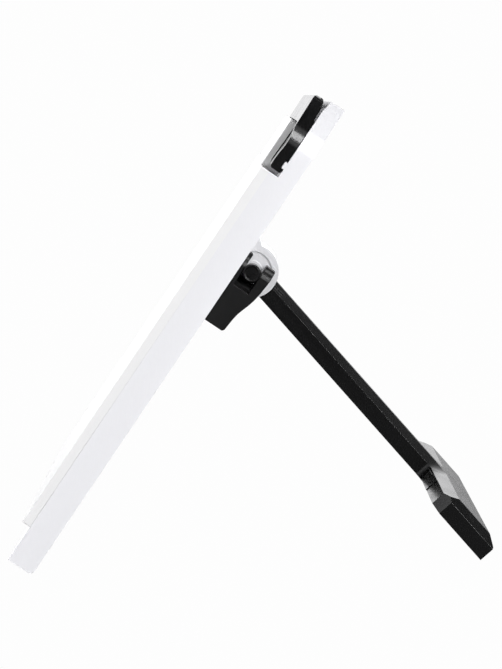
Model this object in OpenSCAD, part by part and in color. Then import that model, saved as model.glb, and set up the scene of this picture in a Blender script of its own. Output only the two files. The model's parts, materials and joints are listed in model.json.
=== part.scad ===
// Tabletop music stand: a leaning desk, a hinged rear leg with a T foot, a two-sided leg lock,
// a rocking page clip and a fold-out page ledge.
// Millimetres. X runs across the stand, -Y faces the reader, +Z is up, Z = 0 is the tabletop.

/* [Desk] */
// Width of the desk
desk_w = 300; // [290:2:320]
// Position of the desk's top end, measured up its slope
desk_top = 280; // [278:1:284]
// Lean of the desk from the tabletop, in degrees
lean = 56; // [54:0.5:58]
// Depth of the casing behind the front board
casing_d = 14.4; // [14.2:0.1:15]
// Thickness of the front board
board_t = 4.8; // [4.2:0.1:5]
// Wall thickness of the casing
wall = 3; // [2.6:0.1:3.2]

/* [Leg] */
// Angle of the open leg below the horizontal, in degrees
leg_down = 48.5; // [47:0.5:50]
// Width of the leg
leg_w = 24; // [22:1:26]
// Radius of the leg's hinge barrel
barrel_r = 12.4; // [12:0.1:12.6]
// Width of the T foot
foot_w = 224; // [214:2:230]
// Bevel round the top of the foot
foot_bevel = 4; // [3.6:0.1:4.2]

/* [Hinge and lock] */
// Radius of the hinge lugs
lug_r = 14.7; // [14.6:0.1:15]
// Radius of the hinge axle
axle_r = 3; // [2.8:0.1:3]
// Radius of the caps on the axle's ends
cap_r = 5; // [4.8:0.1:5.2]
// Travel of the leg lock
lock_travel = 9; // [7:0.5:9]

/* [Page clip and ledge] */
// Width of each jaw tab of the page clip
tab_w = 45; // [40:1:45]
// Width of the fold-out page ledge
ledge_w = 220; // [200:2:220]

/* [Hidden] */
$fn = 64;
e = 0.01;

// Desk, in its own frame: x across, u up the slope, f forward out of the back face
desk_end = -1.5;       // bottom end of the desk
back_r = 2.5;            // rounding of the bottom back corner
half_w = desk_w / 2;
neck = 6;              // how far each side steps in near the top
neck_u = 250;          // start of that step
neck_len = 12;         // length of that step
end_f = 14.3;          // front of the casing at its bottom end
board_u = 18.4;        // bottom edge of the front board
board_f = casing_d + board_t;
notch_u = 234;         // ledge of the notch under each jaw tab
notch_f = 9.2;         // floor of the notch at that ledge
tongue_u = 262;      // top of the front board, between the jaw tabs
top_f = 7.9;           // front of the casing at its top end
floor_knee = 274;       // where the floor behind the clip starts to fall away
knee_f = 9.1;
tab_out = half_w - 0.5;
tab_in = tab_out - tab_w - 1.5;
tongue_x = tab_in - 2; // half width of the board's tongue between the tabs
skin = 2.5;            // front wall of the casing
cover_t = 2.2;
fit_gap = 0.15;        // gap round an inset cover
rest_gap = 0.4;        // height of the desk's reference corner over the tabletop

// Hinge axis on the desk
hinge_u = 181;
hinge_v = 10.8;         // behind the back face
hinge_out = hinge_v * sin(lean) + hinge_u * cos(lean);
hinge_z = rest_gap + hinge_u * sin(lean) - hinge_v * cos(lean);

// Leg, in its own frame: x across, p from the hinge axis to the foot, q up out of its top face
leg_hw = leg_w / 2;
sole_q = -6.75;        // underside of the leg and of the foot
top_q = 5.8;           // top of the leg and of the foot
bevel_run = foot_bevel * 1.95;
tip_gap = 0.3;         // height of the foot's plastic edge over the tabletop
foot_p = 148.2;        // start of the foot
tip_p = (hinge_z + sole_q * cos(leg_down) - tip_gap) / sin(leg_down);
foot_hw = foot_w / 2;
pad_out = 0.9;         // how far a rubber pad stands out of the foot
flare_r = 5;           // radius between the leg's side and the foot
end_run = 5;           // width of the bevel over each end of the foot
start_r = 15.4;        // the leg's full width starts at this radius from the hinge axis
tongue_hw = 9.6;       // half width of the leg's hinge barrel

// Middle of the footprint, so that the origin is under the middle of the stand
front_y = desk_end * cos(lean) - end_f * sin(lean);
back_y = hinge_out + (tip_p - 1.5) * cos(leg_down) + 3.1 * sin(leg_down);
desk_y = -(front_y + back_y) / 2;

// Hinge stack along X
lug_in = 10;
lug_out = 20;
fork_in = 21;
fork_out = 40;
window_x = lug_out + 0.3;
window_u = [166.7, 202.7];
hood_r = 12.9;         // inside of the hood over the barrel
hood_from = 27;        // lower edge of the hood, in degrees from straight out of the back
bush_r = 5.2;
bush_len = 4.2;
ring_hw = 4.6;         // half width of the ratchet ring
ring_core = 9.2;
ring_out = 11.9;
teeth = 30;

// Lock
yoke_u = [148, 160];
yoke_f = [3.2, 7.2];
tongue_u0 = 149;
tongue_u1 = 159;
fork_tongue_x = [26, 35];
spring_u = 124;        // rib that the lock springs press on
spring_x = 20;

// Page clip
clip_u = 265.5;
clip_f = 12.4;
ear_x = [[56, 59], [71, 74]];
clip_pin_r = 1.2;
cheek_x = [137.6, 141];
clip_spring_x = 30;
clip_spring_u = 274.3;

// Page ledge
ledge_hw = ledge_w / 2;
ledge_u = 1.5;
ledge_f = 10.9;
ledge_r = 2.4;
ledge_tip = 17.8;
pocket_f = 8.2;

cover_screw_at = [[128, 12], [128, 105], [128, 214], [60, 270.5]];
lug_screw_at = [[39, 212], [39, 176]];
foot_screw_at = [[26, 160.5], [92, 172]];

white = [0.93, 0.93, 0.95];
black = [0.09, 0.09, 0.10];
steel = [0.72, 0.73, 0.75];
rubber = [0.16, 0.16, 0.17];

// ---- frames and helpers
module on_desk() {
  translate([0, desk_y, rest_gap]) rotate([lean, 0, 0]) children();
}

module on_leg() {
  translate([0, desk_y + hinge_out, hinge_z]) rotate([-leg_down, 0, 0]) children();
}

// A profile drawn as (second axis, third axis), extruded across X from x0 to x1
module across(x0, x1) {
  translate([x0, 0, 0]) rotate([90, 0, 90]) linear_extrude(x1 - x0) children();
}

module both_sides() {
  children();
  mirror([1, 0, 0]) children();
}

// A round bar across X, centred on (a, b) of the other two axes
module bar(x0, x1, a, b, r) {
  translate([x0, a, b]) rotate([0, 90, 0]) cylinder(h = x1 - x0, r = r);
}

module box_between(low, high) {
  translate(low) cube(high - low);
}

function ease(t) = t <= 0 ? 0 : t >= 1 ? 1 : t * t * (3 - 2 * t);
function side_at(u) = half_w - neck * ease((u - neck_u) / neck_len);
function floor_at(u) = u < floor_knee
  ? notch_f + (u - notch_u) * (knee_f - notch_f) / (floor_knee - notch_u)
  : knee_f + (u - floor_knee) * (top_f - knee_f) / (desk_top - floor_knee);
steps_neck = [for (i = [0:10]) neck_u + neck_len * i / 10];

// Front outline of the desk, pulled in by the margin m
module desk_outline(m, u0, u1) {
  right = concat([[half_w - m, u0]],
    [for (u = steps_neck) [side_at(u) - m, u]],
    [[half_w - neck - m, u1]]);
  left = [for (i = [len(right) - 1:-1:0]) [-right[i][0], right[i][1]]];
  polygon(concat(right, left));
}

// Side profile of the casing with its front face dropping at u = step_u
module casing_profile(step_u) {
  polygon([[desk_end + back_r, 0], [desk_top, 0], [desk_top, top_f], [floor_knee, knee_f],
    [step_u, floor_at(step_u)], [step_u, casing_d], [board_u, casing_d],
    [desk_end, end_f], [desk_end, back_r]]);
  translate([desk_end + back_r, back_r]) circle(r = back_r);
}

module cavity_profile(step_u) {
  polygon([[desk_end + wall, -1], [desk_top - wall, -1],
    [desk_top - wall, floor_at(desk_top - wall) - skin], [floor_knee, knee_f - skin],
    [step_u, floor_at(step_u) - skin], [step_u, casing_d - skin],
    [board_u + skin, casing_d - skin], [board_u + skin, pocket_f - skin + 0.3],
    [desk_end + wall, pocket_f - skin + 0.3]]);
}

// Depth of the casing's inside at a screw boss
function inside_at(x, u) = u < board_u + skin ? pocket_f - skin + 0.3
  : u > tongue_u - wall || (x > tongue_x && u > notch_u - wall) ? floor_at(u) - skin : casing_d - skin;

module foot_pad_profile() {
  polygon([[tip_p - 4, sole_q - pad_out], [tip_p + pad_out, sole_q - pad_out],
    [tip_p + pad_out, sole_q + 4.2], [tip_p - 4, sole_q + 4.2]]);
}

module above_table() {
  translate([-desk_w, -desk_w * 2, 0]) cube([desk_w * 2, desk_w * 4, desk_w * 2]);
}

// ---- desk
module desk_foot_block() {
  both_sides() across(98, 122)
    polygon([[desk_end - 0.6, -0.5], [4.5, -0.5], [4.5, 5.4], [desk_end - 0.6, 5.4]]);
}

module casing_ribs() {
  for (u = [50, 88, spring_u - 2])
    box_between([-half_w + wall - e, u, cover_t + 0.1], [half_w - wall + e, u + 2, casing_d - skin + e]);
  both_sides()
    box_between([109, board_u + skin - e, cover_t + 0.1], [111, notch_u - wall, casing_d - skin + e]);
}

module casing() {
  color(white) on_desk() difference() {
    union() {
      difference() {
        intersection() {
          linear_extrude(desk_w) desk_outline(0, desk_end, desk_top);
          union() {
            across(-half_w, half_w) casing_profile(notch_u);
            across(-tongue_x, tongue_x) casing_profile(tongue_u);
          }
        }
        intersection() {
          translate([0, 0, -2]) linear_extrude(desk_w) desk_outline(wall, desk_end + wall, desk_top - wall);
          union() {
            across(-half_w, half_w) cavity_profile(notch_u - skin);
            across(wall - tongue_x, tongue_x - wall) cavity_profile(tongue_u - skin);
          }
        }
      }
      casing_ribs();
      both_sides() for (s = cover_screw_at)
        translate([s[0], s[1], cover_t]) cylinder(h = inside_at(s[0], s[1]) - cover_t + e, r = 3.4);
      both_sides() for (s = lug_screw_at)
        translate([s[0], s[1], 4.9]) cylinder(h = casing_d - skin - 4.9 + e, r = 3.6);
      both_sides() for (x = ear_x)
        casing_ear(x[0], x[1]);
      jaw_rib();
      end_cheek();
    }
    box_between([-ledge_hw - 0.8, desk_end - 1, pocket_f], [ledge_hw + 0.8, board_u - 0.2, casing_d + 1]);
    both_sides() bar(ledge_hw - 2, ledge_hw + 14, ledge_u, ledge_f, clip_pin_r);
    both_sides() for (s = cover_screw_at)
      translate([s[0], s[1], 0]) cylinder(h = inside_at(s[0], s[1]), r = 1.3);
    both_sides() for (s = lug_screw_at)
      translate([s[0], s[1], 4]) cylinder(h = 6.5, r = 1.3);
    both_sides() bar(50, 80, clip_u, clip_f, clip_pin_r);
    desk_foot_block();
  }
}

// Small ear that carries a pin of the page clip
module casing_ear(x0, x1) {
  bar(x0, x1, clip_u, clip_f, 2.4);
  box_between([x0, clip_u - 2.4, 7], [x1, clip_u + 2.4, clip_f]);
}

// Cheek behind each end of the page clip's bar; it stands in a slot in the bar
module end_cheek() {
  both_sides() across(cheek_x[0], cheek_x[1])
    polygon([[263.6, 7], [263.6, 10.4], [274.4, 10.2], [276.4, 8.6], [desk_top, top_f],
      [desk_top, top_f - 1]]);
}

// Rib on each notch floor that the jaw tab closes on
module jaw_rib() {
  both_sides() across(tab_in + 2, half_w)
    polygon([[238.8, 8], [242.6, 8], [242.6, 10.3], [242.2, 10.6], [239.2, 10.6], [238.8, 10.3]]);
}

module front_board() {
  color(white) on_desk() translate([0, 0, casing_d]) linear_extrude(board_t) {
    difference() {
      polygon([[-half_w, board_u], [half_w, board_u], [half_w, notch_u], [tongue_x, notch_u],
        [tongue_x, tongue_u - 4], [tongue_x - 1.2, tongue_u - 1.2], [tongue_x - 4, tongue_u],
        [4 - tongue_x, tongue_u], [1.2 - tongue_x, tongue_u - 1.2], [-tongue_x, tongue_u - 4],
        [-tongue_x, notch_u], [-half_w, notch_u]]);
      translate([0, board_u - 8]) circle(r = 14);
    }
  }
}

module back_cover() {
  color(white) on_desk() difference() {
    intersection() {
      linear_extrude(cover_t)
        desk_outline(wall + fit_gap, desk_end + wall + fit_gap, desk_top - wall - fit_gap);
      across(-half_w, half_w) square([desk_top, cover_t]);
    }
    box_between([-window_x, window_u[0], -1], [window_x, window_u[1], 4]);
    box_between([-4.5, 167.2 - lock_travel - 0.5, -1], [4.5, window_u[0] + 1, 4]);
    both_sides() box_between([fork_tongue_x[0] - 0.4, tongue_u0 - lock_travel - 0.5, -1],
      [fork_tongue_x[1] + 0.4, tongue_u1 + 0.5, 4]);
    both_sides() for (s = cover_screw_at) translate([s[0], s[1], -1]) {
      cylinder(h = 4, r = 1.7);
      cylinder(h = 2.1, r = 3.2);
    }
    desk_foot_block();
  }
}

// Round-headed screw with its head toward the back face, head top at height z
module screw(z, head_r, shank_r, len) {
  translate([0, 0, z]) cylinder(h = 1.1, r = head_r);
  translate([0, 0, z + 1.1 - e]) cylinder(h = len, r = shank_r);
}

module cover_screws() {
  color(steel) on_desk() both_sides() for (s = cover_screw_at) translate([s[0], s[1], 0])
    difference() {
      screw(0, 3, 1.25, inside_at(s[0], s[1]) - 1.4);
      translate([0, 0, -e]) cross_slot(1.6, 0.5);
    }
}

module cross_slot(size, deep) {
  for (a = [0, 90]) rotate([0, 0, a]) translate([-size, -0.3, 0]) cube([size * 2, 0.6, deep]);
}

module desk_feet() {
  color(rubber) intersection() {
    on_desk() desk_foot_block();
    above_table();
  }
}

// ---- hinge
// Side profile of a lug as (u, f): the disc, its gusset and the foot inside the casing
module lug_profile() {
  intersection() {
    translate([hinge_u, -hinge_v]) circle(r = lug_r);
    translate([hinge_u - 20, -30]) square([40, 34.9]);
  }
  polygon([[202.4, 0], [hinge_u + lug_r * cos(12), -hinge_v + lug_r * sin(12)], [hinge_u, -hinge_v],
    [169, -3], [167, 0], [167, 4.9], [202.4, 4.9]]);
}

// The part of that profile that roofs the leg's barrel
module hood_profile() {
  difference() {
    lug_profile();
    translate([hinge_u, -hinge_v]) circle(r = hood_r);
    translate([hinge_u, -hinge_v]) polygon([[0, 0], [40 * sin(hood_from), -40 * cos(hood_from)],
      [0, -60], [-60, -60], [-60, 30], [0, 30]]);
  }
}

module hinge_lug() {
  difference() {
    union() {
      across(lug_in, lug_out) lug_profile();
      across(0.05, lug_in + e) hood_profile();
      box_between([lug_out - 2, 167, cover_t + 0.3], [46, 222, 4.9]);
      box_between([0.05, 197, cover_t + 0.3], [lug_out, 222, 4.9]);
    }
    bar(lug_in - 1, lug_out + 1, hinge_u, -hinge_v, axle_r + 0.02);
    // shallow recess inside the lug's rim
    difference() {
      bar(lug_out - 0.35, lug_out + 1, hinge_u, -hinge_v, 11);
      bar(lug_out - 2, lug_out + 2, hinge_u, -hinge_v, 5.8);
    }
    for (s = lug_screw_at) translate([s[0], s[1], 0]) {
      cylinder(h = 6, r = 1.6);
      translate([0, 0, 1]) cylinder(h = 2.7, r = 3.2);
    }
  }
}

module hinge_lug_right() {
  color(white) on_desk() hinge_lug();
}

module hinge_lug_left() {
  color(white) on_desk() mirror([1, 0, 0]) hinge_lug();
}

module lug_screws() {
  color(steel) on_desk() both_sides() for (s = lug_screw_at) translate([s[0], s[1], 0])
    difference() {
      screw(cover_t + 0.4, 3, 1.25, 6);
      translate([0, 0, cover_t + 0.4 - e]) cross_slot(1.6, 0.5);
    }
}

module axle() {
  color(steel) on_desk() bar(-34, 34, hinge_u, -hinge_v, axle_r);
}

// Cap on the axle's end: a sleeve through the fork's slot and a dished head outside the fork
sleeve_r = cap_r - 0.5;
module pin_cap() {
  translate([lug_out + 0.3, hinge_u, -hinge_v]) rotate([0, 90, 0]) rotate_extrude() {
    polygon([[axle_r + 0.02, 0], [sleeve_r - 0.3, 0], [sleeve_r, 0.3], [sleeve_r, 20], [cap_r, 20],
      [cap_r, 21], [cap_r - 0.6, 21.8], [cap_r - 1.1, 21.8], [cap_r - 1.5, 21.4], [0, 21.1], [0, 14],
      [axle_r + 0.02, 14]]);
  }
}

module pin_cap_right() {
  color(black) on_desk() pin_cap();
}

module pin_cap_left() {
  color(black) on_desk() mirror([1, 0, 0]) pin_cap();
}

// ---- leg
// The T of leg and foot in one outline, bevelled round its top; leg and foot share it at the seam
module t_blank() {
  difference() {
    union() {
      box_between([-leg_hw, 0, sole_q], [leg_hw, foot_p + 1, top_q]);
      box_between([-leg_hw - flare_r, foot_p - flare_r, sole_q], [leg_hw + flare_r, foot_p + 1, top_q]);
      across(-foot_hw, foot_hw) foot_profile();
    }
    both_sides() {
      translate([leg_hw + flare_r, foot_p - flare_r, -20]) cylinder(h = 40, r = flare_r, $fn = 128);
      translate([leg_hw + flare_r, foot_p - flare_r, top_q - foot_bevel])
        cylinder(h = foot_bevel * 2, r1 = flare_r, r2 = flare_r + bevel_run * 2, $fn = 128);
      translate([0, foot_p - flare_r, 0]) rotate([90, 0, 0]) linear_extrude(foot_p)
        polygon([[leg_hw, top_q - foot_bevel], [leg_hw - bevel_run * 1.5, top_q + foot_bevel / 2],
          [leg_hw + 5, top_q + 5], [leg_hw + 5, top_q - foot_bevel]]);
      across(leg_hw + flare_r, foot_hw + 1)
        polygon([[foot_p, top_q - foot_bevel], [foot_p + bevel_run * 1.5, top_q + foot_bevel / 2],
          [foot_p - 5, top_q + 5], [foot_p - 5, top_q - foot_bevel]]);
      // bevel over the end of the foot and at its inner corner
      translate([0, tip_p + 2, 0]) rotate([90, 0, 0]) linear_extrude(60)
        polygon([[foot_hw, top_q - foot_bevel], [foot_hw - end_run * 1.2, top_q + foot_bevel * 0.2],
          [foot_hw + 5, top_q + 5], [foot_hw + 5, top_q - foot_bevel]]);
      translate([0, 0, -20]) linear_extrude(40)
        polygon([[foot_hw - 5, foot_p - 1], [foot_hw - 5, foot_p], [foot_hw, foot_p + 5.6],
          [foot_hw + 2, foot_p + 5.6], [foot_hw + 2, foot_p - 1]]);
    }
  }
}

module leg_shell() {
  color(black) on_leg() difference() {
    union() {
      bar(-tongue_hw, tongue_hw, 0, 0, barrel_r);
      box_between([-tongue_hw, 0, sole_q + 1.2], [tongue_hw, 22, top_q - 1.8]);
      difference() {
        intersection() {
          t_blank();
          box_between([-60, 0, -20], [60, foot_p - 0.03, 20]);
        }
        bar(-leg_hw - 1, leg_hw + 1, 0, 0, start_r);
      }
      box_between([-34, foot_p - 1, -3.4], [34, 164, 0.6]);
    }
    bar(-leg_hw - 1, leg_hw + 1, 0, 0, axle_r + 0.4);
    both_sides() bar(tongue_hw - bush_len, tongue_hw + 1, 0, 0, bush_r);
    difference() {
      bar(-ring_hw - 0.1, ring_hw + 0.1, 0, 0, 14);
      bar(-20, 20, 0, 0, ring_core);
      box_between([-20, ring_core - 1, -20], [20, 40, 20]);
    }
    leg_pockets();
    both_sides() translate([foot_screw_at[0][0], foot_screw_at[0][1], -10]) cylinder(h = 9.6, r = 1.3);
  }
}

// Hollows in the underside of the leg, between its ribs, with a rebate for the underplate
module leg_pockets() {
  box_between([-8.6, 21, sole_q - 1], [8.6, 132, sole_q + 1.6]);
  for (i = [0:3])
    box_between([-7, 23 + i * 27.5, sole_q - 1], [7, 47.5 + i * 27.5, 1.6]);
}

module leg_underplate() {
  color(black) on_leg() box_between([-8.45, 21.15, sole_q], [8.45, 131.85, sole_q + 1.6]);
}

module ratchet_ring() {
  color(steel) on_leg() difference() {
    intersection() {
      across(-ring_hw, ring_hw) union() {
        circle(r = ring_out - 1.2);
        for (i = [0:teeth - 1]) rotate(i * 360 / teeth)
          polygon([[ring_out - 1.6, -0.7], [ring_out, -0.2], [ring_out, 0.2], [ring_out - 1.6, 0.7]]);
      }
      box_between([-20, -20, -20], [20, ring_core - 1 - 0.05, 20]);
    }
    bar(-20, 20, 0, 0, ring_core + 0.03);
  }
}

module leg_bushings() {
  color(steel) on_leg() both_sides() difference() {
    bar(tongue_hw - bush_len, tongue_hw, 0, 0, bush_r);
    bar(tongue_hw - 10, tongue_hw + 1, 0, 0, axle_r + 0.05);
  }
}

// Thin washers between the leg's barrel and the lugs
module hinge_washers() {
  color(steel) on_leg() both_sides() difference() {
    bar(tongue_hw + 0.02, lug_in - 0.3, 0, 0, 8.5);
    bar(tongue_hw - 1, lug_in + 1, 0, 0, axle_r + 0.05);
  }
}

// ---- foot
module foot_profile() {
  polygon([[foot_p, sole_q + 0.6], [foot_p + 6.4, sole_q], [tip_p, sole_q], [tip_p, 1.4],
    [tip_p - 0.4, 2.5], [tip_p - 1.5, 3.2], [tip_p - 6.3, top_q], [foot_p - 0.5, top_q],
    [foot_p - 0.5, sole_q + 0.6]]);
}

module foot_strips(x0, x1) {
  both_sides() across(x0, x1) foot_pad_profile();
}

module foot_shoe() {
  color(black) on_leg() difference() {
    intersection() {
      t_blank();
      box_between([-foot_hw, foot_p, -20], [foot_hw, tip_p, 20]);
    }
    box_between([-34.2, foot_p - 1, -3.5], [34.2, 164.2, 0.7]);
    box_between([-foot_hw + 6, foot_p + 8, sole_q - 1], [foot_hw - 6, tip_p - 5, sole_q + 2]);
    both_sides() box_between([1.5, 167, sole_q], [50, tip_p - 5.5, 2.6]);
    both_sides() box_between([53, foot_p + 10, sole_q], [84, tip_p - 5.5, 2.6]);
    both_sides() translate([foot_screw_at[0][0], foot_screw_at[0][1], -10]) cylinder(h = 9.6, r = 1.3);
    both_sides() translate([foot_screw_at[1][0], foot_screw_at[1][1], -10]) cylinder(h = 11, r = 1.3);
    foot_strips(30, 84);
  }
}

module foot_sole() {
  color(black) on_leg() difference() {
    box_between([-foot_hw + 6.15, foot_p + 8.15, sole_q], [foot_hw - 6.15, tip_p - 5.15, sole_q + 1.9]);
    both_sides() for (s = foot_screw_at) translate([s[0], s[1], sole_q - 1]) {
      cylinder(h = 6, r = 1.6);
      cylinder(h = 2.1, r = 3.2);
    }
  }
}

module foot_screws() {
  color(steel) on_leg() both_sides() for (s = foot_screw_at) translate([s[0], s[1], 0])
    difference() {
      screw(sole_q, 3, 1.25, 4.6);
      translate([0, 0, sole_q - e]) cross_slot(1.6, 0.5);
    }
}

module foot_pads() {
  color(rubber) intersection() {
    on_leg() foot_strips(30, 84);
    above_table();
  }
}

// ---- leg lock
fork_v = 0.4;          // clearance over the desk's back face
slot_deep = 170.5;     // bottom of the slot at the outer face
slot_near = 175.9;     // bottom of the slot behind its ramp
ramp_x = 30;

// Side profile of a fork as (u, f), with its slot open upward
module fork_profile(slot_u) {
  difference() {
    polygon([[146.1, -fork_v], [189.6, -fork_v], [189.6, -6.0], [188.4, -16.6], [188.1, -21.4],
      [183.1, -21.5], [173.9, -20.8], [169.3, -20.1], [165.1, -19], [161.6, -17.8], [158.2, -16.8],
      [154.4, -16.2], [147.2, -15.6], [146.1, -14.6]]);
    translate([slot_u, -hinge_v - sleeve_r - 0.3]) square([30, sleeve_r * 2 + 0.6]);
  }
}

// Plan of a fork as (x, u): the prong tips step inward
module fork_plan() {
  polygon([[fork_in, 140], [fork_out, 140], [fork_out, 181.8], [fork_out - 0.8, 183.4],
    [fork_out - 2.4, 184.8], [fork_out - 4, 185.7], [fork_out - 4.8, 187.1], [fork_out - 5, 190.4],
    [fork_in, 190.4]]);
}

module lock_fork() {
  intersection() {
    union() {
      across(fork_in, ramp_x) fork_profile(slot_near);
      across(ramp_x, fork_out) fork_profile(slot_deep);
    }
    translate([0, 0, -40]) linear_extrude(60) fork_plan();
  }
  // ramp from the deep slot floor to the shallow one
  intersection() {
    translate([0, 0, -hinge_v - sleeve_r - 0.3]) linear_extrude(sleeve_r * 2 + 0.6)
      polygon([[ramp_x - e, slot_deep - e], [ramp_x + 6, slot_deep - e], [ramp_x + 6, slot_deep + 1.9],
        [ramp_x + 5.5, slot_deep + 2.9], [ramp_x + 4.7, slot_deep + 4], [ramp_x + 3.8, slot_deep + 5.1],
        [ramp_x + 3.2, slot_near], [ramp_x - e, slot_near]]);
    translate([0, 0, -40]) linear_extrude(60) fork_plan();
  }
  box_between([fork_tongue_x[0], tongue_u0, -fork_v - 1], [fork_tongue_x[1], tongue_u1, yoke_f[0]]);
}

module lock_fork_right() {
  color(black) on_desk() lock_fork();
}

module lock_fork_left() {
  color(black) on_desk() mirror([1, 0, 0]) lock_fork();
}

module lock_yoke() {
  color(black) on_desk() difference() {
    union() {
      box_between([-38, yoke_u[0], yoke_f[0]], [38, yoke_u[1], yoke_f[1]]);
      across(-4, 4)
        polygon([[yoke_u[1] - 1, yoke_f[0]], [167.2, 2.9], [171, 0.8], [176.2, 0.8], [175.4, 3.6],
          [171, yoke_f[1]], [yoke_u[1] - 1, yoke_f[1]]]);
    }
    both_sides() translate([spring_x, yoke_u[0] - 1, 5.2]) rotate([-90, 0, 0]) cylinder(h = 5, r = 1.6);
  }
}

// A compression spring drawn as its separate turns along +Z
module spring_turns(len, turns, r, wire) {
  for (i = [0:turns - 1]) translate([0, 0, wire + (len - 2 * wire) * i / (turns - 1)])
    rotate_extrude($fn = 48) translate([r, 0]) circle(r = wire, $fn = 20);
}

module lock_springs() {
  color(steel) on_desk() both_sides() translate([spring_x, spring_u + 0.2, 7.2 - 2]) rotate([-90, 0, 0])
    spring_turns(yoke_u[0] - spring_u - 0.4, 10, 2.2, 0.35);
}

// ---- page clip
// Side profile of the clip's bar as (u, f)
module clip_bar_profile() {
  polygon([[262.6, 9.9], [264, 9.2], [266.6, 9.5], [267.4, 10], [272.5, 10.4], [277.4, 11.2],
    [278.6, 11.8], [279, 13], [278.8, 15.8], [278, 16.7], [276.8, 16.9], [269.7, 16.7],
    [262.6, 16.5]]);
}

// Side profile of a jaw tab, front face given as a list of points up the slope
module clip_tab_profile(front) {
  polygon(concat([[236.2, 9.9], [238.4, 9.8], [238.4, 11], [243, 11], [243, 9.6], [262.7, 9.5]], front,
    [[237.2, 15.8], [236.2, 15]]));
}

module page_clip() {
  color(black) on_desk() difference() {
    intersection() {
      union() {
        across(-half_w, half_w) clip_bar_profile();
        both_sides() across(tab_in, 122) clip_tab_profile([[262.7, 15.1], [251, 15.3], [240, 15.7]]);
        // lip along the inner edge of each tab
        both_sides() across(tab_in, tab_in + 1.6)
          clip_tab_profile([[262.7, 15.7], [251, 15.9], [240, 16.2]]);
        both_sides() across(122, half_w) clip_tab_profile([[262.7, 16.5], [259.6, 16.3], [257.4, 15.8],
          [254.6, 15.35], [251, 15.2], [247.6, 15.35], [244, 15.75], [240, 15.9]]);
      }
      linear_extrude(40) difference() {
        desk_outline(0.5, 200, 290);
        // rounded ends of the bar
        both_sides() translate([half_w - neck - 0.5, 279]) polygon(concat([[1, 1], [-9, 1]],
          [for (i = [0:8]) [0.05 - 9 * (1 - sin(i * 11.25)), 0.05 - 2.4 * (1 - cos(i * 11.25))]], [[1, -2.35]]));
      }
    }
    both_sides() bar(54, 76, clip_u, clip_f, clip_pin_r + 0.05);
    both_sides() box_between([cheek_x[0] - 0.4, 262, 0], [cheek_x[1] + 0.4, 280, 13.4]);
    both_sides() for (x = ear_x)
      box_between([x[0] - 0.4, clip_u - 4, 0], [x[1] + 0.4, clip_u + 3.4, clip_f + 2.9]);
    both_sides() translate([clip_spring_x, clip_spring_u, 0]) cylinder(h = 12.8, r = 2.7);
    jaw_pad_block();
  }
}

module jaw_pad_block() {
  both_sides() box_between([tab_in + 3, 245, 9], [tab_out - 9, 261, 10.6]);
}

module jaw_pads() {
  color(rubber) on_desk() both_sides()
    box_between([tab_in + 3, 245, 9.3], [tab_out - 9, 261, 10.6]);
}

module clip_springs() {
  color(steel) on_desk() both_sides()
    translate([clip_spring_x, clip_spring_u, floor_at(clip_spring_u) + 0.05])
      spring_turns(12.65 - floor_at(clip_spring_u), 4, 1.9, 0.3);
}

module clip_pins() {
  color(steel) on_desk() both_sides() bar(55.6, 74.4, clip_u, clip_f, clip_pin_r);
}

// ---- page ledge
module ledge_profile() {
  translate([ledge_u, ledge_f]) circle(r = ledge_r);
  polygon([[ledge_u, ledge_f - ledge_r], [ledge_tip, ledge_f - ledge_r + 0.2], [ledge_tip, 14],
    [ledge_tip - 0.6, 14.3], [ledge_u, ledge_f + ledge_r]]);
}

module page_ledge() {
  color(white) on_desk() difference() {
    across(-ledge_hw, ledge_hw) ledge_profile();
    both_sides() bar(ledge_hw - 14, ledge_hw + 1, ledge_u, ledge_f, clip_pin_r + 0.05);
    box_between([-ledge_hw + 12, 6, 8], [ledge_hw - 12, 14, 9.3]);
    // thumb hollow in the middle of the free edge
    translate([0, ledge_tip + 9, 8]) cylinder(h = 8, r = 14);
  }
}

// Rubber strip that faces up when the ledge is open
module ledge_grip() {
  color(rubber) on_desk() box_between([-ledge_hw + 12, 6, 8.7], [ledge_hw - 12, 14, 9.3]);
}

module ledge_pins() {
  color(steel) on_desk() both_sides() bar(ledge_hw - 13.5, ledge_hw + 13.5, ledge_u, ledge_f, clip_pin_r);
}

casing();
front_board();
back_cover();
cover_screws();
desk_feet();
hinge_lug_left();
hinge_lug_right();
lug_screws();
axle();
pin_cap_left();
pin_cap_right();
clip_pins();
ledge_pins();
leg_shell();
leg_underplate();
ratchet_ring();
leg_bushings();
hinge_washers();
foot_shoe();
foot_sole();
foot_screws();
foot_pads();
lock_fork_left();
lock_fork_right();
lock_yoke();
lock_springs();
page_clip();
jaw_pads();
clip_springs();
page_ledge();
ledge_grip();
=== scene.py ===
import json
import math

import bmesh
import bpy
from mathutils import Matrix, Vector


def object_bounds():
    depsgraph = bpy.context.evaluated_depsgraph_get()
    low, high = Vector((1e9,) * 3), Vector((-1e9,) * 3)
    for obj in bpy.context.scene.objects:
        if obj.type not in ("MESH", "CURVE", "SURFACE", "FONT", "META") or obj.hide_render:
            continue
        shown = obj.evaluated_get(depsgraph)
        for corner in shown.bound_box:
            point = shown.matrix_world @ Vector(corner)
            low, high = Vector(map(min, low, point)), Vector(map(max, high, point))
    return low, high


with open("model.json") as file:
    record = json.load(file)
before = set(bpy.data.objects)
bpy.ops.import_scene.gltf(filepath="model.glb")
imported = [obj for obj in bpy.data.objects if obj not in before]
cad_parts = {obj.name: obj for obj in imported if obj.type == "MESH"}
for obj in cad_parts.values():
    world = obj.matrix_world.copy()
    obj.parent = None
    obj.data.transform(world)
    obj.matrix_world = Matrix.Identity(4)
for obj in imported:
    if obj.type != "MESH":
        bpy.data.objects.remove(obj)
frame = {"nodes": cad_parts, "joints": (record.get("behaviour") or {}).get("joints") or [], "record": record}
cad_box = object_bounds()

# Tabletop music stand: every visible piece is a CAD node, with rounded edges and a material of its own.
# Lengths are in metres.
MM = 0.001
record = frame["record"]
nodes = frame["nodes"]
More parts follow.
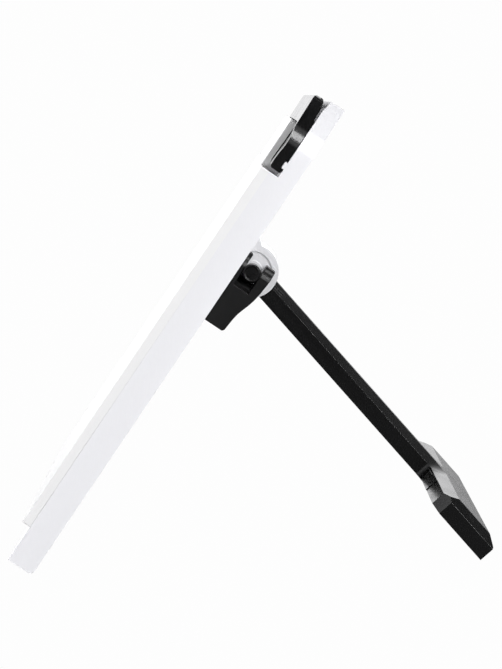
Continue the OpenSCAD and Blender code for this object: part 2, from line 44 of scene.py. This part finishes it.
joints = {j["name"]: j for j in frame["joints"]}
slot_of = {s["node"]: s["material_slot"] for s in record["subparts"]}

# ---- the desk's and the leg's own axes, worked out from the record
UP_SLOPE = -Vector(joints["lock_slide"]["axis"])
OUT_OF_FACE = Vector((0, -UP_SLOPE.z, UP_SLOPE.y))
HINGE = Vector(joints["leg_fold"]["pos_m"])
LEG_DOWN = math.radians(48.5)     # the leg's slope below level, at rest
DOWN_LEG = Vector((0, math.cos(LEG_DOWN), -math.sin(LEG_DOWN)))
PAGE_FACE = Vector(next(m for m in record["mounts"] if m["name"] == "page_face")["pos_m"])

# ---- camera: level with the desk's top, to the stand's right
CAMERA_DISTANCE = 1.354           # from the desk's near side
CAMERA_HEIGHT = 0.2411
CAMERA_Y = -0.00147
CAMERA_PITCH = 5.065              # degrees below the horizon
LENS = 146.2
SENSOR = 36                       # LENS and SENSOR are in millimetres


def make_camera():
    data = bpy.data.cameras.new("camera")
    data.lens = LENS
    data.sensor_width = SENSOR
    camera = bpy.data.objects.new("camera", data)
    bpy.context.scene.collection.objects.link(camera)
    near_side = cad_box[1][0]
    camera.location = (near_side + CAMERA_DISTANCE, CAMERA_Y, CAMERA_HEIGHT)
    camera.rotation_euler = (math.radians(90 - CAMERA_PITCH), 0, math.radians(90))
    bpy.context.scene.camera = camera


# ---- node helpers
MIX_A, MIX_B, MIX_OUT = 6, 7, 2   # the colour sockets of a Mix node
MOST = (0.3, 0.7)                 # most of a noise's values lie between these


class Tree:
    """A short way to write shader nodes."""

    def __init__(self, tree):
        self.tree = tree

    def add(self, kind, inputs=None, **settings):
        node = self.tree.nodes.new(kind)
        for name, value in settings.items():
            setattr(node, name, value)
        for name, value in (inputs or {}).items():
            self.set(node.inputs[name], value)
        return node

    def set(self, socket, value):
        """Links a socket to another node's output, or sets its value."""
        if isinstance(value, bpy.types.NodeSocket):
            self.tree.links.new(value, socket)
        else:
            socket.default_value = value

    def noise(self, vector, scale, detail, rough=0.55):
        inputs = {"Vector": vector, "Scale": scale, "Detail": detail, "Roughness": rough}
        return self.add("ShaderNodeTexNoise", inputs).outputs["Fac"]

    def stretched(self, vector, scale, detail, turn=(0, 0, 0)):
        """Noise with a scale of its own along each axis."""
        inputs = {"Vector": vector, "Scale": scale, "Rotation": turn}
        return self.noise(self.add("ShaderNodeMapping", inputs).outputs[0], 1.0, detail)

    def cells(self, vector, scale):
        return self.add("ShaderNodeTexVoronoi", {"Vector": vector, "Scale": scale}).outputs["Distance"]

    def remap(self, value, low, high, to_low=0, to_high=1, **settings):
        inputs = {"Value": value, "From Min": low, "From Max": high, "To Min": to_low, "To Max": to_high}
        return self.add("ShaderNodeMapRange", inputs, **settings).outputs["Result"]

    def blend(self, fac, a, b):
        node = self.add("ShaderNodeMix", data_type="RGBA")
        self.tree.links.new(fac, node.inputs["Factor"])
        self.set(node.inputs[MIX_A], a)
        self.set(node.inputs[MIX_B], b)
        return node.outputs[MIX_OUT]

    def math(self, operation, a, b):
        return self.add("ShaderNodeMath", {0: a, 1: b}, operation=operation).outputs[0]

    def pale_to_camera(self, seen_by_light, pale, output):
        """What lights the stand is one shader, what the camera sees behind it is a plain pale one."""
        seen = self.add("ShaderNodeLightPath").outputs["Is Camera Ray"]
        both = self.add("ShaderNodeMixShader", {0: seen, 1: seen_by_light, 2: pale})
        self.tree.links.new(both.outputs[0], output)


def scaled(colour, k):
    return (colour[0] * k, colour[1] * k, colour[2] * k, 1)


def start(name):
    material = bpy.data.materials.new(name)
    material.use_nodes = True
    shader = material.node_tree.nodes["Principled BSDF"]
    t = Tree(material.node_tree)
    place = t.add("ShaderNodeTexCoord").outputs["Object"]
    return material, shader, t, place


def bump(t, shader, *layers):
    """Stacks (height, distance in mm, strength) into the shader's normal."""
    last = None
    for height, distance, strength in layers:
        node = t.add("ShaderNodeBump", {"Height": height, "Distance": distance * MM, "Strength": strength})
        if last:
            t.tree.links.new(last.outputs["Normal"], node.inputs["Normal"])
        last = node
    t.tree.links.new(last.outputs["Normal"], shader.inputs["Normal"])


# ---- materials; noise scales are in features per metre
GRIT_SCALE = 3600                 # spark-eroded grain of a mould
CLOUD_SCALE = 26                  # slow drift of colour and gloss
RUB_SCALE = (90, 1400, 260)       # long faint rubs
RUB_TURN = (0.4, 0.2, 0)
EDGE_POINTINESS = (0.53, 0.62)    # from nearly flat to a worn edge
GLOSS_DRIFT = 0.03
RUB_DULLING = 0.07
PATCH_SCALE = 140                 # dull patches on steel
PIT_SCALE = 1800
PEBBLE_SCALE = 1300               # skin of moulded rubber
DUST_SCALE = 220


def plastic(name, colour, rough, specular, grain, worn, tone):
    """Moulded plastic: fine spark-eroded grain, slow colour drift, faint rubs, lighter edges."""
    material, shader, t, place = start(name)
    grit = t.noise(place, GRIT_SCALE, 2)
    cloud = t.noise(place, CLOUD_SCALE, 4)
    rub = t.stretched(place, RUB_SCALE, 5, RUB_TURN)
    edge = t.remap(t.add("ShaderNodeNewGeometry").outputs["Pointiness"], *EDGE_POINTINESS)
    base = t.blend(t.remap(cloud, *MOST), scaled(colour, 1 - tone), scaled(colour, 1 + tone))
    base = t.blend(t.remap(grit, 0.35, 0.65), base, scaled(colour, 1 + tone / 2))
    worn_edge = t.math("MULTIPLY", edge, t.remap(rub, 0.45, 0.7, 0.2, 0.8))
    base = t.blend(worn_edge, base, scaled(colour, worn))
    t.tree.links.new(base, shader.inputs["Base Color"])
    uneven = t.math("ADD", t.remap(cloud, *MOST, rough - GLOSS_DRIFT, rough + GLOSS_DRIFT),
                    t.remap(rub, 0.55, 0.75, 0.0, RUB_DULLING))
    t.tree.links.new(uneven, shader.inputs["Roughness"])
    shader.inputs["Specular IOR Level"].default_value = specular
    bump(t, shader, (grit, 0.02, grain), (cloud, 0.25, 0.05))
    return material


def metal(name, colour, rough, along):
    """Turned or drawn steel: streaks along one direction, small pits, faint dull patches."""
    material, shader, t, place = start(name)
    streak = t.stretched(place, along, 6)
    patch = t.noise(place, PATCH_SCALE, 3)
    pits = t.cells(place, PIT_SCALE)
    base = t.blend(t.remap(patch, 0.35, 0.7), scaled(colour, 1.0), scaled(colour, 0.82))
    base = t.blend(t.remap(streak, 0.4, 0.65, 0, 0.6), base, scaled(colour, 1.12))
    t.tree.links.new(base, shader.inputs["Base Color"])
    shader.inputs["Metallic"].default_value = 1.0
    t.tree.links.new(t.remap(streak, *MOST, rough - 0.07, rough + 0.1), shader.inputs["Roughness"])
    bump(t, shader, (streak, 0.01, 0.35), (pits, 0.01, 0.1))
    return material


def rubber(name, colour, rough):
    """Matt rubber: pebbled skin with dust in its low spots."""
    material, shader, t, place = start(name)
    pebble = t.cells(place, PEBBLE_SCALE)
    dust = t.noise(place, DUST_SCALE, 5)
    base = t.blend(t.remap(dust, 0.45, 0.75), scaled(colour, 0.9), scaled(colour, 2.1))
    base = t.blend(t.remap(pebble, 0.1, 0.6, 0.35, 0), base, scaled(colour, 1.6))
    t.tree.links.new(base, shader.inputs["Base Color"])
    t.tree.links.new(t.remap(dust, *MOST, rough - 0.06, rough + 0.06), shader.inputs["Roughness"])
    shader.inputs["Specular IOR Level"].default_value = 0.3
    bump(t, shader, (pebble, 0.05, 0.5), (dust, 0.03, 0.3))
    return material


DEEP_BLACK = (0.0028, 0.0028, 0.0029)
BLACK = (0.0036, 0.0036, 0.0037)

WHITE_CASING = plastic("white_casing", (0.80, 0.80, 0.82), 0.55, 0.25, grain=0.35, worn=1.03, tone=0.008)
WHITE_BOARD = plastic("white_board", (0.83, 0.83, 0.828), 0.36, 0.4, grain=0.3, worn=1.03, tone=0.006)
WHITE_LUG = plastic("white_lug", (0.85, 0.85, 0.865), 0.45, 0.3, grain=0.35, worn=1.03, tone=0.01)
BLACK_SATIN = plastic("black_satin", DEEP_BLACK, 0.25, 0.46, grain=0.45, worn=2.6, tone=0.12)
BLACK_GLOSS = plastic("black_gloss", BLACK, 0.22, 0.4, grain=0.3, worn=2.6, tone=0.12)
BLACK_FORK = plastic("black_fork", BLACK, 0.42, 0.4, grain=0.5, worn=2.6, tone=0.15)
STEEL_PIN = metal("steel_pin", (0.62, 0.63, 0.65), 0.26, (2600, 120, 120))
STEEL_WIRE = metal("steel_wire", (0.55, 0.56, 0.58), 0.3, (300, 300, 2400))
ZINC_SCREW = metal("zinc_screw", (0.66, 0.67, 0.68), 0.32, (1500, 900, 900))
RUBBER = rubber("rubber", (0.028, 0.028, 0.03), 0.72)

SLOT_MATERIALS = {
    "white_shell": WHITE_CASING, "black_part": BLACK_SATIN, "steel_part": ZINC_SCREW, "rubber_part": RUBBER,
}
# nodes whose material isn't their slot's
NODE_MATERIALS = {
    "front_board": WHITE_BOARD, "page_ledge": WHITE_BOARD,
    "hinge_lug_left": WHITE_LUG, "hinge_lug_right": WHITE_LUG,
    "pin_cap_left": BLACK_GLOSS, "pin_cap_right": BLACK_GLOSS, "page_clip": BLACK_GLOSS,
    "lock_fork_left": BLACK_FORK, "lock_fork_right": BLACK_FORK,
    "axle": STEEL_PIN, "clip_pins": STEEL_PIN, "ledge_pins": STEEL_PIN, "leg_bushings": STEEL_PIN,
    "ratchet_ring": STEEL_PIN, "hinge_washers": STEEL_PIN,
    "lock_springs": STEEL_WIRE, "clip_springs": STEEL_WIRE,
}

# ---- edges
# rounding of each node's edges, in millimetres
EDGES = {
    "casing": 0.45, "front_board": 0.4, "back_cover": 0.1, "desk_feet": 0.2,
    "hinge_lug_left": 0.5, "hinge_lug_right": 0.5, "pin_cap_left": 0.12, "pin_cap_right": 0.12,
    "leg_shell": 0.8, "foot_shoe": 0.8, "foot_sole": 0.15, "leg_underplate": 0.15, "foot_pads": 0.2,
    "lock_fork_left": 0.55, "lock_fork_right": 0.55, "lock_yoke": 0.3, "page_clip": 0.5,
    "jaw_pads": 0.2, "page_ledge": 0.35, "ledge_grip": 0.15, "cover_screws": 0.08, "lug_screws": 0.08,
    "foot_screws": 0.08, "axle": 0.2, "ratchet_ring": 0.08, "clip_pins": 0.1, "ledge_pins": 0.1,
    "leg_bushings": 0.1, "hinge_washers": 0.03,
}
BEVEL_ANGLE = math.radians(24)    # sharper edges than this are rounded
BEVEL_SEGMENTS = 3
FLAT_ANGLE = math.radians(0.4)    # facets that differ by less are merged first
WELD_REACH = 0.002 * MM
KEY_DIGITS = 6                    # points are told apart to a thousandth of a millimetre
BOARD_THICKNESS = 4.8 * MM
FOOT_SEAM_REACH = 148.15 * MM     # from the hinge down the leg

# seams where two mouldings run on flush, so that their edges stay sharp: (point, direction, tolerance)
FOOT_SEAM = (HINGE + DOWN_LEG * FOOT_SEAM_REACH, DOWN_LEG, 0.25 * MM)
BOARD_SEAM = (PAGE_FACE - OUT_OF_FACE * BOARD_THICKNESS, OUT_OF_FACE, 0.05 * MM)
SEAMS = {"leg_shell": FOOT_SEAM, "foot_shoe": FOOT_SEAM, "casing": BOARD_SEAM, "front_board": BOARD_SEAM}


def edge_key(a, b):
    return frozenset(tuple(round(c, KEY_DIGITS) for c in point) for point in (a, b))


def mark_edges(obj, plane):
    """Bevel weight 1 on each sharp edge; those that lie in a seam's plane get 0 and a sharp shading mark."""
    mesh = obj.data
    point, normal, tolerance = plane
    to_world = obj.matrix_world
    welded = bmesh.new()
    welded.from_mesh(mesh)
    bmesh.ops.remove_doubles(welded, verts=welded.verts, dist=WELD_REACH)
    rounded, seam = set(), set()
    for edge in welded.edges:
        ends = [to_world @ v.co for v in edge.verts]
        in_seam = all(abs((end - point).dot(normal)) < tolerance for end in ends)
        if edge.calc_face_angle(0.0) > BEVEL_ANGLE:
            (seam if in_seam else rounded).add(edge_key(*(v.co for v in edge.verts)))
    welded.free()
    weights = mesh.attributes.new("bevel_weight_edge", "FLOAT", "EDGE")
    creased = mesh.attributes.get("sharp_edge") or mesh.attributes.new("sharp_edge", "BOOLEAN", "EDGE")
    for edge in mesh.edges:
        key = edge_key(*(mesh.vertices[i].co for i in edge.vertices))
        weights.data[edge.index].value = 1.0 if key in rounded else 0.0
        creased.data[edge.index].value = key in seam


def soften(obj, radius, plane):
    """Rounds a node's sharp edges with modifiers; its vertices stay where the CAD put them."""
    mesh = obj.data
    mesh.polygons.foreach_set("use_smooth", [True] * len(mesh.polygons))
    if mesh.has_custom_normals:
        bpy.context.view_layer.objects.active = obj
        with bpy.context.temp_override(object=obj, active_object=obj):
            bpy.ops.mesh.customdata_custom_splitnormals_clear()
    weld = obj.modifiers.new("weld", "WELD")
    weld.merge_threshold = WELD_REACH
    flat = obj.modifiers.new("flat", "DECIMATE")
    flat.decimate_type = "DISSOLVE"
    flat.angle_limit = FLAT_ANGLE
    bevel = obj.modifiers.new("edges", "BEVEL")
    if plane:
        mark_edges(obj, plane)
        bevel.limit_method = "WEIGHT"
    else:
        bevel.limit_method = "ANGLE"
        bevel.angle_limit = BEVEL_ANGLE
    bevel.width = radius * MM
    bevel.segments = BEVEL_SEGMENTS
    bevel.harden_normals = True
    bevel.use_clamp_overlap = True


# ---- floor and light
PALE = 0.985                      # what the camera sees of the floor and the backdrop
WHITE = (1, 1, 1, 1)
FLOOR_SIZE = 8
FLOOR_DROP = 0.1 * MM
FLOOR_GREY = (0.15, 0.15, 0.15, 1)
LIGHT_TINT = (0.99, 0.99, 1.0, 1)
AMBIENT = 0.03

# (direction, half width of the bright core, half width with its soft rim, strength), widths in degrees
LIGHTS = [
    ((-1.0, 0.0, -0.05), 30, 58, 1.45),     # the backdrop behind the stand
    ((0.28, 0.56, 0.78), 3, 6, 34.0),       # small hard key, high behind the desk
    ((0.36, 0.785, 0.52), 4, 9, 30.0),      # its twin, lower, square to the leg's bevel
    ((0.75, -0.65, 0.05), 8, 18, 6.0),      # panel to the left of the camera
    ((0.60, 0.76, 0.25), 14, 32, 4.4),      # panel to the right of the camera
    ((0.45, -0.68, 0.58), 16, 36, 1.3),     # softbox over the reader's side
    ((-0.30, -0.93, 0.22), 26, 54, 2.2),    # broad fill on the face the pages lie on
]


def make_floor():
    bpy.ops.mesh.primitive_plane_add(size=FLOOR_SIZE, location=(0, 0, -FLOOR_DROP))
    floor = bpy.context.active_object
    floor.name = "floor"
    material = bpy.data.materials.new("floor")
    material.use_nodes = True
    t = Tree(material.node_tree)
    soft = t.add("ShaderNodeBsdfDiffuse", {"Color": FLOOR_GREY}).outputs[0]
    pale = t.add("ShaderNodeEmission", {"Color": WHITE, "Strength": PALE}).outputs[0]
    t.pale_to_camera(soft, pale, t.tree.nodes["Material Output"].inputs["Surface"])
    floor.data.materials.append(material)


def make_world():
    world = bpy.data.worlds.new("studio")
    bpy.context.scene.world = world
    world.use_nodes = True
    t = Tree(world.node_tree)
    way = t.add("ShaderNodeTexCoord").outputs["Generated"]
    total = None
    for direction, core, rim, strength in LIGHTS:
        aim = Vector(direction).normalized()
        near = t.add("ShaderNodeVectorMath", {0: way, 1: aim}, operation="DOT_PRODUCT").outputs["Value"]
        level = t.remap(near, math.cos(math.radians(rim)), math.cos(math.radians(core)), 0.0, strength,
                        interpolation_type="SMOOTHSTEP")
        total = level if total is None else t.math("ADD", total, level)
    light = t.tree.nodes["Background"]
    light.inputs["Color"].default_value = LIGHT_TINT
    t.tree.links.new(t.math("ADD", total, AMBIENT), light.inputs["Strength"])
    backdrop = t.add("ShaderNodeBackground", {"Color": WHITE, "Strength": PALE}).outputs[0]
    t.pale_to_camera(light.outputs[0], backdrop, t.tree.nodes["World Output"].inputs["Surface"])
    bpy.context.scene.view_settings.view_transform = "Standard"


for name, obj in nodes.items():
    obj.data.materials.clear()
    obj.data.materials.append(NODE_MATERIALS.get(name, SLOT_MATERIALS[slot_of[name]]))
    if name in EDGES:
        soften(obj, EDGES[name], SEAMS.get(name))

make_camera()
make_floor()
make_world()
